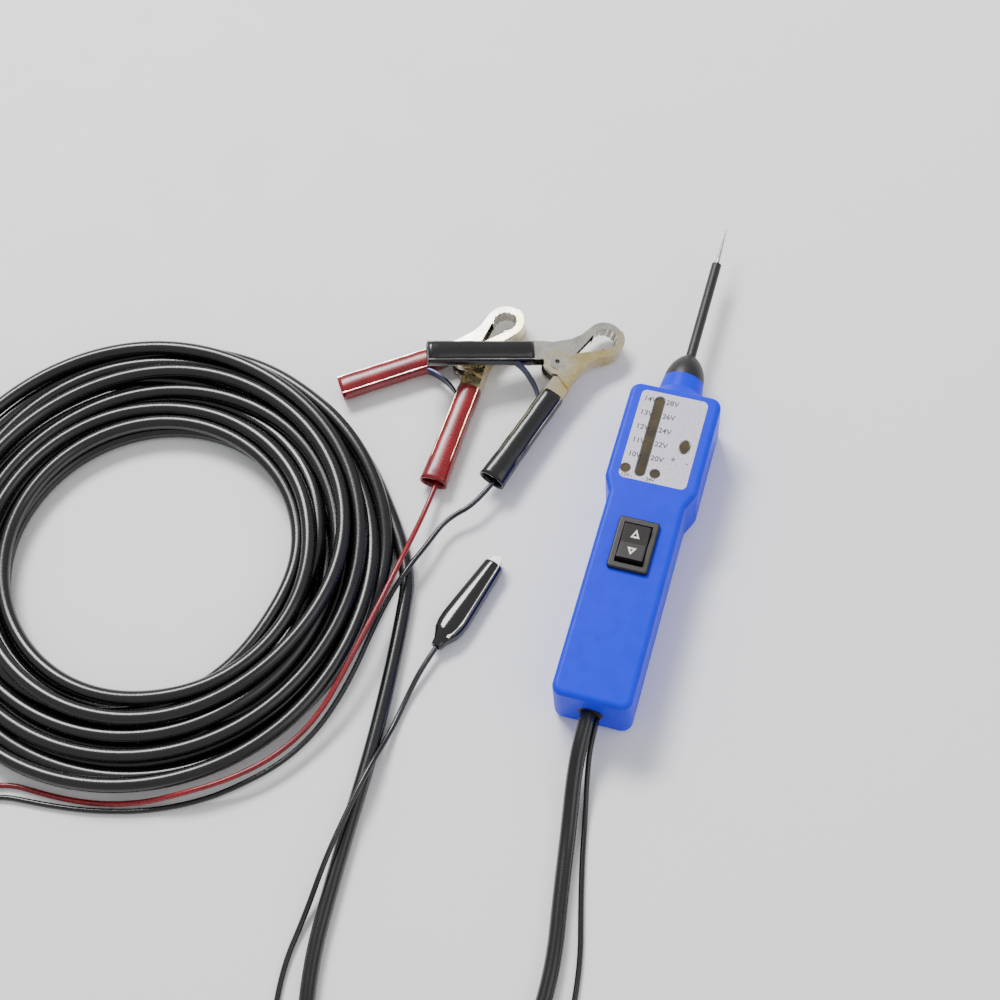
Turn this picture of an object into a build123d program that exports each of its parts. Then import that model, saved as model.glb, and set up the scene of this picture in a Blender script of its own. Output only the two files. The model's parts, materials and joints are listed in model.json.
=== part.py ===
from build123d import *
from math import cos, pi, radians, sin, tan
import os

# Powered circuit tester with a probe, a coiled supply cable that ends in two battery clips,
# and a ground lead that ends in a crocodile clip.  Millimetres.  +Y is the way the probe
# points, +Z is up out of the display, and z = 0 is the surface that everything lies on.
# The origin is under the middle of the tester, between its tail and the needle's point.

# ---- housing
grip_length = 81.0
shoulder_length = 6.5
head_length = 41.5
grip_width = 28.8
head_width = 34.8
housing_thickness = 24.0
housing_wall = 2.0
parting_height = 11.8        # the two covers meet here, and the probe lies on this height
corner_radius = 4.0          # of the upright corners
top_edge = 2.0               # radius of the edges round the display face
bottom_edge = 2.4
lip_height = 1.6             # tongue of the rear cover inside the front cover
lip_thickness = 0.9
fit_gap = 0.1                # between moulded pieces that locate each other
label_recess = 0.3

# ---- probe
collar_length = 10.5
collar_foot = (23.0, 18.4)   # width and height where it grows out of the head
collar_foot_length = 4.2
collar_root_diameter = 17.2
collar_tip_diameter = 15.8
boot_length = 11.3
boot_tip_diameter = 5.6
sleeve_length = 45.9
sleeve_diameter = 3.9
sleeve_neck_diameter = 3.2   # where the boot grips it
sleeve_neck_free = 0.4       # of the neck in front of the boot
sleeve_in_boot = 5.0
needle_length = 18.3
needle_diameter = 1.8
needle_point = 0.3
needle_in_socket = 12.0
socket_diameter = 7.0
socket_flange = 10.6
socket_flange_length = 2.0
socket_nose = 3.0            # of the socket past the collar
locknut_diameter = 9.0
locknut_length = 2.6

# ---- display
label_width = 25.6
label_length = 38.6
label_corner = 2.2
bar_window_width = 3.4
bar_window_length = 34.5
bar_window_x = -5.2
range_window_diameter = 3.5
range_window_x = (-10.8, 0.3)
range_window_from_shoulder = 4.2
polarity_window_width = 3.8
polarity_window_length = 5.7
polarity_window_x = 8.3
polarity_window_from_shoulder = 17.7
lens_plate = 1.2
led_count = 10
led_gap = 0.6                # between the lamps' tops and the lens
window_gap = 0.05

# ---- circuit board
board_thickness = 1.6
board_depth = 7.6            # from the display face down to the board's top
board_edge_gap = 0.5
board_post_diameter = 4.0
board_screw_diameter = 2.0
chip_size = (6.4, 15.0, 2.6)
buzzer_diameter = 11.6
buzzer_height = 5.0

# ---- rocker switch
switch_from_tail = 61.1
bezel_width = 15.0
bezel_length = 21.0
bezel_height = 1.7
switch_body_width = 13.0
switch_body_length = 19.2
switch_depth = 13.0          # below the display face
rocker_width = 9.8
rocker_length = 14.4
rocker_gap = 0.35            # each side
rocker_end_gap = 1.0
rocker_proud = 1.9           # its raised ends over the bezel
rocker_valley = 0.5          # its middle over the bezel
rocker_skirt = 2.4           # of the rocker below its pins
pivot_depth = 2.0            # of the rocker's pins under the display face
pivot_diameter = 2.4
pivot_clearance = 0.05
pivot_engagement = 1.1
terminal_length = 4.6
terminal_pitch = 5.6

# ---- screws
screw_diameter = 2.9
screw_head_diameter = 5.2
screw_head_height = 2.0
screw_clearance = 0.2
screw_column = 7.6
screw_sink = 3.4             # from the rear face to the seat of the head
tail_screw_from_tail = 20.0
tail_screw_spread = 9.2
head_screw_from_front = 6.6
head_screw_spread = 11.4

# ---- supply cable entry
cable_diameter = 5.6
lead_diameter = 2.0
cable_x = -0.9
ground_lead_x = 2.3
ground_lead_drop = 2.7       # below the cable
entry_hole = 9.4
grommet_flange = 11.6
grommet_flange_length = 1.4
clamp_from_tail = 9.0
clamp_length = 5.0
clamp_spread = 8.2
clamp_width = 22.4
clamp_height = 3.6
cable_inside = 17.0          # of the cable past the housing's tail
breaker_size = (15.0, 9.0, 9.0)
breaker_from_tail = 36.0
wire_diameter = 1.4
contact_width = 4.0
contact_thickness = 0.5
contact_reach = 4.4

# ---- coil of cable
coil_x = -177.5
coil_y = -86.5
coil_inner_radius = 52.0
coil_outer_radius = 94.0
coil_height = 11.2
coil_bulge = 5.0
split_diameter = 8.4
split_length = 24.0

# ---- battery clips, each in its own frame: the pin at the origin, the jaw along +X
clip_sheet = 0.8
clip_mouth_x = 22.8          # middle of the round mouth
clip_ring_radius = 7.6
clip_mouth_radius = 4.9
clip_throat_x = 8.4          # where the mouth narrows to nothing
clip_jaw_gap = 0.15          # each side of the line between the jaws
clip_handle_angle = 26.5
clip_handle_offset = 5.8
clip_handle_width = 7.8
clip_handle_start = 4.0
clip_handle_reach = 50.0
clip_inner_depth = 6.0       # across the free half and both handles
clip_outer_depth = 8.2       # across the wired half's jaw and ears
clip_ear_radius = 5.2
clip_ear_gap = 0.4
clip_rivet_diameter = 3.4
clip_rivet_bore = 1.8
clip_rivet_head_diameter = 6.0
clip_rivet_head_height = 0.6
clip_pin_clearance = 0.05
clip_sleeve_wall = 0.8
clip_free_sleeve_start = 8.5
clip_wired_sleeve_start = 11.5
clip_wired_overhang = 5.0    # of the wired sleeve past its handle
clip_spring_width = 4.0
clip_spring_thickness = 0.7
clip_spring_bend = -12.0     # of the spring's bend along X
clip_slot_length = 12.0      # of the slot in each sleeve that the spring passes through
clip_slot_width = 4.8
terminal_diameter = 3.6
terminal_barrel = 8.0

# ---- crocodile clip, in its own frame: the pin at the origin, the nose along +X
croc_nose = 25.6
croc_sheet = 0.5
croc_inner_depth = 4.4
croc_outer_depth = 6.0
croc_ear_radius = 2.9
croc_ear_gap = 0.35
croc_rivet_diameter = 1.8
croc_spring_outer = 4.6
croc_spring_depth = 2.4
croc_boot_back = -15.8
croc_boot_front = 22.8
croc_boot_wall = 0.7
croc_boot_neck = 4.2
croc_screw_diameter = 1.8
croc_screw_x = -8.6

# ---- where pieces stand
housing_length = grip_length + shoulder_length + head_length
overall_length = housing_length + collar_length + boot_length + sleeve_length + needle_length
tail_y = -overall_length / 2
shoulder_y = tail_y + grip_length
head_start_y = shoulder_y + shoulder_length
head_end_y = tail_y + housing_length
collar_end_y = head_end_y + collar_length
boot_end_y = collar_end_y + boot_length
sleeve_end_y = boot_end_y + sleeve_length
tip_y = sleeve_end_y + needle_length
switch_y = tail_y + switch_from_tail
label_y = head_start_y + label_length / 2
label_top = housing_thickness
label_bottom = housing_thickness - label_recess
range_y = head_start_y + range_window_from_shoulder
polarity_y = head_start_y + polarity_window_from_shoulder
ceiling = housing_thickness - housing_wall
board_top = housing_thickness - board_depth
board_bottom = board_top - board_thickness
lens_bottom = ceiling - lens_plate
tail_screw_y = tail_y + tail_screw_from_tail
head_screw_y = head_end_y - head_screw_from_front
clamp_y = tail_y + clamp_from_tail + clamp_length / 2
breaker_y = tail_y + breaker_from_tail
cable_z = parting_height
ground_lead_z = parting_height - ground_lead_drop

os.makedirs("parts", exist_ok=True)


def save(shape, name):
    export_step(shape, f"parts/{name}.step")


def block(x0, x1, y0, y1, z0, z1):
    middle = Pos((x0 + x1) / 2, (y0 + y1) / 2, (z0 + z1) / 2)
    return middle * Box(x1 - x0, y1 - y0, z1 - z0)


def upright(x, y, z0, z1, diameter):
    return Pos(x, y, (z0 + z1) / 2) * Cylinder(diameter / 2, z1 - z0)


def along_y(y0, y1, diameter, x=0.0, z=parting_height):
    return Pos(x, (y0 + y1) / 2, z) * Rot(90, 0, 0) * Cylinder(diameter / 2, y1 - y0)


def cone_y(y0, y1, diameter0, diameter1):
    # Rot(-90) turns the cone's own +Z to +Y.
    return (
        Pos(0, (y0 + y1) / 2, parting_height)
        * Rot(-90, 0, 0)
        * Cone(diameter0 / 2, diameter1 / 2, y1 - y0)
    )


def slab(face, depth):
    return extrude(face, depth / 2, both=True)


def area(points):
    return make_face(Polyline(*points, close=True))


def both_sides(make, spread):
    return make(-spread) + make(spread)


# ---- covers
def outline(inset):
    grip = grip_width / 2 - inset
    head = head_width / 2 - inset
    tail = tail_y + inset
    front = head_end_y - inset
    right = [(grip, tail), (grip, shoulder_y), (head, head_start_y), (head, front)]
    left = [(-x, y) for x, y in reversed(right)]
    return right + left


def prism(inset, z0, z1, radius):
    body = Pos(0, 0, z0) * extrude(area(outline(inset)), z1 - z0)
    return fillet(body.edges().filter_by(Axis.Z), radius)


def columns(z0, z1, diameter):
    spots = [
        (-tail_screw_spread, tail_screw_y),
        (tail_screw_spread, tail_screw_y),
        (-head_screw_spread, head_screw_y),
        (head_screw_spread, head_screw_y),
    ]
    return [upright(x, y, z0, z1, diameter) for x, y in spots]


housing = prism(0, 0, housing_thickness, corner_radius)
housing = fillet(housing.faces().sort_by(Axis.Z)[-1].edges(), top_edge)
housing = fillet(housing.faces().sort_by(Axis.Z)[0].edges(), bottom_edge)
inside = prism(housing_wall, housing_wall, ceiling, corner_radius - housing_wall)
collar_root_y = head_end_y + collar_foot_length
collar_base = Plane(origin=(0, head_end_y - housing_wall / 2, parting_height), z_dir=(0, 1, 0))
foot = loft(
    [
        collar_base * RectangleRounded(*collar_foot, collar_foot[1] / 2 - 0.6),
        collar_base.offset(collar_foot_length + housing_wall / 2) * Circle(collar_root_diameter / 2),
    ]
)
collar = foot + cone_y(collar_root_y, collar_end_y, collar_root_diameter, collar_tip_diameter)
shell = housing + collar - inside
shell -= along_y(head_end_y - 2 * housing_wall, collar_end_y, socket_diameter)
shell -= along_y(
    head_end_y - housing_wall, head_end_y - housing_wall + socket_flange_length, socket_flange
)
shell -= along_y(tail_y, tail_y + housing_wall, entry_hole)

everywhere = 2 * overall_length
above = block(-everywhere, everywhere, -everywhere, everywhere, parting_height, everywhere)
below = block(-everywhere, everywhere, -everywhere, everywhere, -everywhere, parting_height)

board_outline = {
    "left": -head_width / 2 + housing_wall + board_edge_gap,
    "right": head_width / 2 - housing_wall - board_edge_gap,
    "back": head_start_y + board_edge_gap,
    "front": head_end_y - housing_wall - locknut_length - board_edge_gap,
}
post_x = board_outline["right"] - board_post_diameter / 2 - board_edge_gap / 2
post_spots = [
    (-post_x, range_y + range_window_diameter / 2 + board_post_diameter),
    (-post_x, head_screw_y - screw_column),
    (post_x, range_y),
    (post_x, head_screw_y - screw_column),
]
notch_y = head_screw_y - screw_column / 2 - board_edge_gap
notch_x = head_screw_spread - screw_column / 2 - board_edge_gap

bar_window_y = label_y


def windows(z0, z1, growth):
    slot = Pos(bar_window_x, bar_window_y, z0) * extrude(
        SlotOverall(
            bar_window_length + 2 * growth, bar_window_width + 2 * growth, rotation=90
        ),
        z1 - z0,
    )
    dots = [upright(x, range_y, z0, z1, range_window_diameter + 2 * growth) for x in range_window_x]
    oval = Pos(polarity_window_x, polarity_y, z0) * extrude(
        Ellipse(polarity_window_width / 2 + growth, polarity_window_length / 2 + growth), z1 - z0
    )
    return [slot, oval] + dots


front = (shell & above) - (
    Pos(0, label_y, label_bottom)
    * extrude(RectangleRounded(label_width, label_length, label_corner), label_recess)
)
for column in columns(parting_height, ceiling, screw_column):
    front += column & housing
for column in columns(parting_height, ceiling - fit_gap, screw_diameter):
    front -= column
for x, y in post_spots:
    front += upright(x, y, board_top, ceiling, board_post_diameter)
    front -= upright(x, y, board_top, ceiling - fit_gap, board_screw_diameter)
for cut in windows(lens_bottom, label_bottom, window_gap):
    front -= cut
switch_hole = block(
    -switch_body_width / 2,
    switch_body_width / 2,
    switch_y - switch_body_length / 2,
    switch_y + switch_body_length / 2,
    parting_height,
    housing_thickness,
)
front -= switch_hole
rebate_inset = housing_wall - lip_thickness - fit_gap
rebate_top = parting_height + lip_height + fit_gap
rebate = prism(rebate_inset, parting_height, rebate_top, corner_radius - rebate_inset) - prism(
    housing_wall, parting_height, rebate_top, corner_radius - housing_wall
)
front -= rebate
tongue_inset = housing_wall - lip_thickness
tongue_top = parting_height + lip_height
tongue = prism(tongue_inset, parting_height, tongue_top, corner_radius - tongue_inset) - prism(
    housing_wall, parting_height, tongue_top, corner_radius - housing_wall
)
for column in columns(parting_height, housing_thickness, screw_column + 2 * fit_gap):
    tongue -= column
tongue -= along_y(tail_y, tail_y + 2 * housing_wall, grommet_flange + 2 * fit_gap)
tongue -= block(
    -socket_flange,
    socket_flange,
    head_end_y - 3 * housing_wall,
    head_end_y,
    parting_height,
    housing_thickness,
)
rear = shell & below
for column in columns(housing_wall / 2, parting_height, screw_column):
    rear += column & housing
rear += tongue
for seat in columns(0, screw_sink, screw_head_diameter + 2 * screw_clearance):
    rear -= seat
for hole in columns(screw_sink, parting_height, screw_diameter + 2 * screw_clearance):
    rear -= hole

cable_path = along_y(tail_y, tail_y + cable_inside, cable_diameter, cable_x, cable_z)
ground_path = along_y(tail_y, tail_y + cable_inside, lead_diameter, ground_lead_x, ground_lead_z)
saddle = block(
    -clamp_width / 2,
    clamp_width / 2,
    clamp_y - clamp_length / 2,
    clamp_y + clamp_length / 2,
    housing_wall / 2,
    parting_height,
)
rear += (saddle & housing) - cable_path - ground_path


def clamp_screw(x):
    shank = upright(x, clamp_y, parting_height - 6, parting_height + clamp_height, 2.4)
    return shank + upright(
        x, clamp_y, parting_height + clamp_height, parting_height + clamp_height + 1.6, 4.4
    )


clamp_screws = both_sides(clamp_screw, clamp_spread)
rear -= clamp_screws
save(front, "front_cover")
save(rear, "rear_cover")
save(clamp_screws, "clamp_screws")

cable_clamp = block(
    -clamp_width / 2,
    clamp_width / 2,
    clamp_y - clamp_length / 2,
    clamp_y + clamp_length / 2,
    parting_height,
    parting_height + clamp_height,
)
cable_clamp = cable_clamp - clamp_screws - cable_path
save(cable_clamp, "cable_clamp")

grommet = along_y(tail_y, tail_y + housing_wall, entry_hole) + along_y(
    tail_y + housing_wall, tail_y + housing_wall + grommet_flange_length, grommet_flange
)
save(grommet - cable_path - ground_path, "cable_grommet")

housing_screws = [
    shank + head
    for shank, head in zip(
        columns(screw_sink, parting_height + 7.0, screw_diameter),
        columns(screw_sink - screw_head_height, screw_sink, screw_head_diameter),
    )
]
save(Compound(children=housing_screws), "housing_screws")

# ---- label, lens and lamps
face_label = Pos(0, label_y, label_bottom) * extrude(
    RectangleRounded(label_width - 2 * fit_gap, label_length - 2 * fit_gap, label_corner), label_recess
)
for cut in windows(label_bottom, label_top, 0):
    face_label -= cut
save(face_label, "face_label")

lens = block(
    bar_window_x - bar_window_width,
    polarity_window_x + polarity_window_width / 2 + 0.4,
    range_y - range_window_diameter / 2 - 0.4,
    bar_window_y + bar_window_length / 2 + 0.4,
    lens_bottom,
    ceiling,
)
lens += block(
    range_window_x[0] - range_window_diameter / 2 - 0.4,
    bar_window_x,
    range_y - range_window_diameter / 2 - 0.4,
    range_y + range_window_diameter / 2 + 0.4,
    lens_bottom,
    ceiling,
)
for column in columns(parting_height, ceiling, screw_column + 2 * fit_gap):
    lens -= column
for boss in windows(lens_bottom, label_bottom, 0):
    lens += boss
save(lens, "display_lens")

lamp_top = lens_bottom - led_gap
lamp_pitch = bar_window_length / led_count
bar_y0 = bar_window_y - bar_window_length / 2
bar_base = block(
    bar_window_x - 2.4,
    bar_window_x + 2.4,
    bar_y0,
    bar_y0 + bar_window_length,
    board_top,
    board_top + 1.4,
)
for column in columns(parting_height, ceiling, screw_column + 2 * fit_gap):
    bar_base -= column
for index in range(led_count):
    lamp_y = bar_y0 + lamp_pitch * (index + 0.5)
    bar_base += block(
        bar_window_x - 1.4,
        bar_window_x + 1.4,
        lamp_y - 0.36 * lamp_pitch,
        lamp_y + 0.36 * lamp_pitch,
        board_top + 1.4,
        lamp_top,
    )
save(bar_base, "voltage_lamps")


def lamp(x, y, diameter):
    flange = upright(x, y, board_top, board_top + 0.8, diameter + 0.6)
    stem = upright(x, y, board_top + 0.8, lamp_top, diameter)
    return flange + stem


range_lamps = [lamp(x, range_y, 3.0) for x in range_window_x]
save(Compound(children=range_lamps), "range_lamps")
save(lamp(polarity_window_x, polarity_y, 3.0), "polarity_lamp")

# ---- circuit board and what it carries
board = block(
    board_outline["left"],
    board_outline["right"],
    board_outline["back"],
    board_outline["front"],
    board_bottom,
    board_top,
)
for side in (-1, 1):
    board -= block(
        min(side * notch_x, side * head_width),
        max(side * notch_x, side * head_width),
        notch_y,
        head_end_y,
        board_bottom,
        board_top,
    )
    board -= block(
        min(side * (grip_width / 2 - housing_wall - board_edge_gap), side * head_width),
        max(side * (grip_width / 2 - housing_wall - board_edge_gap), side * head_width),
        tail_y,
        head_start_y + corner_radius,
        board_bottom,
        board_top,
    )
board_screw_list = []
for x, y in post_spots:
    board -= upright(x, y, board_bottom, board_top, board_screw_diameter)
    shank = upright(x, y, board_bottom, board_top + 3.6, board_screw_diameter)
    board_screw_list.append(shank + upright(x, y, board_bottom - 1.3, board_bottom, 3.6))
save(board, "circuit_board")
save(Compound(children=board_screw_list), "board_screws")

chip_y = (board_outline["back"] + notch_y) / 2
chip = block(
    -7.8,
    -7.8 + chip_size[0],
    chip_y - chip_size[1] / 2,
    chip_y + chip_size[1] / 2,
    board_bottom - chip_size[2],
    board_bottom,
)
save(chip, "driver_chip")
buzzer = upright(4.8, chip_y + 1.0, board_bottom - buzzer_height, board_bottom, buzzer_diameter)
save(buzzer - upright(4.8, chip_y + 1.0, board_bottom - buzzer_height, board_bottom - 4, 2.0), "piezo_buzzer")
resistor_list = [
    Pos(x, board_outline["back"] + 3.4, board_bottom - 1.1) * Rot(90, 0, 0) * Cylinder(1.1, 5.6)
    for x in (-3.4, 0.0, 3.4, 6.8)
]
save(Compound(children=resistor_list), "resistors")

# ---- rocker switch
well_width = rocker_width + 2 * rocker_gap
well_length = rocker_length + 2 * rocker_end_gap
pivot_z = housing_thickness - pivot_depth
pin_length = well_width + 2 * pivot_engagement
switch_body = block(
    -switch_body_width / 2,
    switch_body_width / 2,
    switch_y - switch_body_length / 2,
    switch_y + switch_body_length / 2,
    housing_thickness - switch_depth,
    housing_thickness,
)
bezel = block(
    -bezel_width / 2,
    bezel_width / 2,
    switch_y - bezel_length / 2,
    switch_y + bezel_length / 2,
    housing_thickness,
    housing_thickness + bezel_height,
)
bezel = fillet(bezel.edges().filter_by(Axis.Z), 1.2)
bezel = fillet(bezel.faces().sort_by(Axis.Z)[-1].edges(), 0.7)
switch_body = switch_body + bezel - block(
    -well_width / 2,
    well_width / 2,
    switch_y - well_length / 2,
    switch_y + well_length / 2,
    pivot_z - rocker_skirt - 2.6,
    housing_thickness + bezel_height,
)
pin_place = Pos(0, switch_y, pivot_z) * Rot(0, 90, 0)
switch_body -= pin_place * Cylinder(pivot_diameter / 2 + pivot_clearance, pin_length + 2 * fit_gap)
save(switch_body, "switch_body")

half = rocker_length / 2
top_z = housing_thickness + bezel_height
rocker_side = [
    (-half, pivot_z - 0.6),
    (-half + 3.4, pivot_z - rocker_skirt),
    (half - 3.4, pivot_z - rocker_skirt),
    (half, pivot_z - 0.6),
    (half - 0.4, top_z + rocker_proud),
    (0, top_z + rocker_valley),
    (-half + 0.4, top_z + rocker_proud),
]
rocker = slab(
    Plane.YZ * Pos(switch_y, 0) * area(rocker_side),
    rocker_width,
)
rocker = fillet(rocker.faces().sort_by(Axis.X)[-1].edges() + rocker.faces().sort_by(Axis.X)[0].edges(), 0.5)
rocker += pin_place * Cylinder(pivot_diameter / 2, pin_length)
save(rocker, "switch_rocker")

terminal_list = [
    block(
        -2.4,
        2.4,
        switch_y + offset * terminal_pitch - 0.4,
        switch_y + offset * terminal_pitch + 0.4,
        housing_thickness - switch_depth - terminal_length,
        housing_thickness - switch_depth,
    )
    for offset in (-1, 0, 1)
]
save(Compound(children=terminal_list), "switch_terminals")

breaker = block(
    -breaker_size[0] / 2,
    breaker_size[0] / 2,
    breaker_y - breaker_size[1] / 2,
    breaker_y + breaker_size[1] / 2,
    housing_wall,
    housing_wall + breaker_size[2],
)
save(breaker, "circuit_breaker")

# ---- probe
flange_y = head_end_y - housing_wall
socket = along_y(flange_y - locknut_length, collar_end_y + socket_nose, socket_diameter)
socket += along_y(flange_y, flange_y + socket_flange_length, socket_flange)
needle_end = boot_end_y - sleeve_in_boot - needle_in_socket
socket -= along_y(needle_end, collar_end_y + socket_nose, needle_diameter)
save(socket, "probe_socket")
locknut = along_y(flange_y - locknut_length, flange_y, locknut_diameter) - along_y(
    flange_y - locknut_length, flange_y, socket_diameter
)
save(locknut, "probe_locknut")

needle = along_y(needle_end, sleeve_end_y + needle_length * 0.12, needle_diameter) + cone_y(
    sleeve_end_y + needle_length * 0.12, tip_y, needle_diameter, needle_point
)
save(needle, "probe_needle")
sleeve_start_y = boot_end_y + sleeve_neck_free
sleeve = along_y(collar_end_y + socket_nose, sleeve_start_y, sleeve_neck_diameter)
sleeve += along_y(sleeve_start_y, sleeve_end_y, sleeve_diameter)
sleeve -= along_y(collar_end_y + socket_nose, sleeve_end_y, needle_diameter)
save(sleeve, "probe_sleeve")
boot_curve = Plane.XY * make_face(
    [
        Line((0, collar_end_y), (collar_tip_diameter / 2 - 0.1, collar_end_y)),
        ThreePointArc(
            (collar_tip_diameter / 2 - 0.1, collar_end_y),
            (collar_tip_diameter / 2 * 0.7 + boot_tip_diameter / 2 * 0.42, collar_end_y + boot_length * 0.5),
            (boot_tip_diameter / 2, boot_end_y),
        ),
        Line((boot_tip_diameter / 2, boot_end_y), (0, boot_end_y)),
        Line((0, boot_end_y), (0, collar_end_y)),
    ]
)
boot = Pos(0, 0, parting_height) * revolve(boot_curve, Axis.Y)
boot -= along_y(collar_end_y, boot_end_y, sleeve_neck_diameter)
boot -= along_y(collar_end_y, collar_end_y + socket_nose, socket_diameter)
save(boot, "probe_boot")


# ---- cords
def corner_turn(before, here, after):
    a = Vector(*here) - Vector(*before)
    b = Vector(*after) - Vector(*here)
    return radians(a.get_angle(b)), a.length, b.length


def cord(name, points, diameter, bore=0.0):
    radii = []
    for before, here, after in zip(points, points[1:], points[2:]):
        turn, run_in, run_out = corner_turn(before, here, after)
        radii.append(0.45 * min(run_in, run_out) / tan(turn / 2))
    runs = [(Vector(*b) - Vector(*a)).length for a, b in zip(points, points[1:])]
    path = FilletPolyline(*points, radius=radii)
    start = Plane(origin=path @ 0, z_dir=path % 0)
    tube = sweep(start * Circle(diameter / 2), path=path)
    share = tube.volume / (pi * diameter**2 / 4 * path.length)
    print(
        f"{name}: length {path.length:.0f} mm, least bend {min(radii):.0f} mm,"
        f" runs {min(runs):.0f} to {max(runs):.0f} mm, volume over section times length {share:.3f}"
    )
    return tube


def coil_spot(angle, radius, z):
    return (
        coil_x + radius * cos(radians(angle)),
        coil_y + radius * sin(radians(angle)),
        z,
    )


cable_rest = cable_diameter / 2 + 0.05
lead_rest = lead_diameter / 2 + 0.05
on_coil = coil_height + lead_rest

# ---- battery clips
handle_turn = radians(clip_handle_angle)


def handle_spot(reach, offset):
    # A point on the upper handle: along it from the pin, and out from the pin.
    return (
        offset * sin(handle_turn) - reach * cos(handle_turn),
        offset * cos(handle_turn) + reach * sin(handle_turn),
    )


def handle_strip(start, end, width):
    low = clip_handle_offset - width / 2
    high = clip_handle_offset + width / 2
    return area(
        [handle_spot(start, low), handle_spot(start, high), handle_spot(end, high), handle_spot(end, low)]
    )


def jaw_shape():
    crown = handle_spot(clip_handle_start + 3.0, clip_handle_offset + clip_handle_width / 2)
    jaw = area(
        [
            handle_spot(clip_handle_start, clip_handle_offset - clip_handle_width / 2),
            crown,
            (4.0, 8.4),
            (11.0, 6.4),
            (15.5, 6.2),
            (clip_mouth_x - 1.0, clip_ring_radius),
            (clip_mouth_x, clip_jaw_gap),
            (0, clip_jaw_gap),
        ]
    )
    jaw += Pos(clip_mouth_x, 0) * Circle(clip_ring_radius)
    jaw &= area([(-90, clip_jaw_gap), (90, clip_jaw_gap), (90, 90), (-90, 90)])
    jaw -= Pos(clip_mouth_x, 0) * Circle(clip_mouth_radius)
    jaw -= area(
        [
            (clip_throat_x, -1),
            (clip_throat_x, clip_jaw_gap),
            (clip_mouth_x - 2.0, clip_mouth_radius - 0.5),
            (clip_mouth_x, -1),
        ]
    )
    return jaw + Circle(clip_ear_radius)


def hollow_of(face, sheet, ear):
    core = offset(face, -sheet)
    return core + Pos(0, -1.4 * sheet) * core + Pos(0, -2.8 * sheet) * core + Circle(ear)


def clip_half(depth):
    jaw = jaw_shape()
    handle = handle_strip(clip_handle_start, clip_handle_reach, clip_handle_width)
    ear_room = clip_ear_radius + clip_ear_gap
    whole = jaw + handle
    half = slab(jaw, depth) + slab(whole, clip_inner_depth)
    half -= slab(hollow_of(whole, clip_sheet, ear_room), clip_inner_depth - 2 * clip_sheet)
    half -= slab(hollow_of(jaw, clip_sheet, ear_room), depth - 2 * clip_sheet)
    open_end = handle_strip(
        clip_handle_reach - 2 * clip_sheet, clip_handle_reach, clip_handle_width - 2 * clip_sheet
    )
    return half - slab(open_end, clip_inner_depth - 2 * clip_sheet)


def oval_tube(start, end, wall):
    middle = handle_spot((start + end) / 2, clip_handle_offset)
    outer = Box(end - start, clip_handle_width + 2 * wall, clip_inner_depth + 2 * wall)
    outer = fillet(outer.edges().filter_by(Axis.X), 2.4)
    inner = Box(end - start, clip_handle_width, clip_inner_depth)
    slot = Pos((end - start - clip_slot_length) / 2, -clip_handle_width / 2, 0) * Box(
        clip_slot_length, 2 * wall, clip_slot_width
    )
    return Pos(*middle, 0) * Rot(0, 0, -clip_handle_angle) * (outer - inner - slot)


def below_of(shape):
    return mirror(shape, about=Plane.XZ)


free_bore = clip_rivet_diameter + 2 * clip_pin_clearance
free_half = clip_half(clip_inner_depth) - Cylinder(free_bore / 2, clip_inner_depth)
wired_half = clip_half(clip_outer_depth) - Cylinder(clip_rivet_diameter / 2, clip_outer_depth)
wired_half = below_of(wired_half)
rivet_reach = clip_outer_depth / 2 + clip_rivet_head_height
rivet = Cylinder(clip_rivet_diameter / 2, 2 * rivet_reach)
for side in (-1, 1):
    rivet += Pos(0, 0, side * (rivet_reach - clip_rivet_head_height / 2)) * Cylinder(
        clip_rivet_head_diameter / 2, clip_rivet_head_height
    )
rivet -= Cylinder(clip_rivet_bore / 2, 2 * rivet_reach)

leg = [handle_spot(38, 8.0), handle_spot(20, 6.4), (clip_spring_bend, 4.6)]
spring_line = FilletPolyline(*leg, *[(x, -y) for x, y in reversed(leg)], radius=3.5)
spring_start = Plane(origin=spring_line @ 0, z_dir=spring_line % 0, x_dir=(0, 0, 1))
clip_spring = sweep(
    spring_start * Rectangle(clip_spring_width, clip_spring_thickness), path=spring_line
)
free_sleeve = oval_tube(clip_free_sleeve_start, clip_handle_reach, clip_sleeve_wall)
wired_sleeve = below_of(
    oval_tube(
        clip_wired_sleeve_start, clip_handle_reach + clip_wired_overhang, clip_sleeve_wall
    )
)
terminal_offset = clip_handle_offset + clip_handle_width / 2 - clip_sheet - terminal_diameter / 2
terminal_reach = clip_handle_reach - terminal_barrel


def wired_spot(reach):
    x, y = handle_spot(reach, terminal_offset)
    return x, -y


terminal_middle = wired_spot(terminal_reach + terminal_barrel / 2)
terminal = (
    Pos(*terminal_middle, 0)
    * Rot(0, 0, clip_handle_angle)
    * Rot(0, 90, 0)
    * (
        Cylinder(terminal_diameter / 2, terminal_barrel)
        - Cylinder(lead_diameter / 2, terminal_barrel)
    )
)

clip_pieces = {
    "clip_free_jaw": free_half,
    "clip_wired_jaw": wired_half,
    "clip_rivet": rivet,
    "clip_spring": clip_spring,
    "clip_free_sleeve": free_sleeve,
    "clip_wired_sleeve": wired_sleeve,
    "clip_terminal": terminal,
}
red_place = Pos(-86.6, 25.1, rivet_reach) * Rot(0, 0, 61.5)
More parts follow.
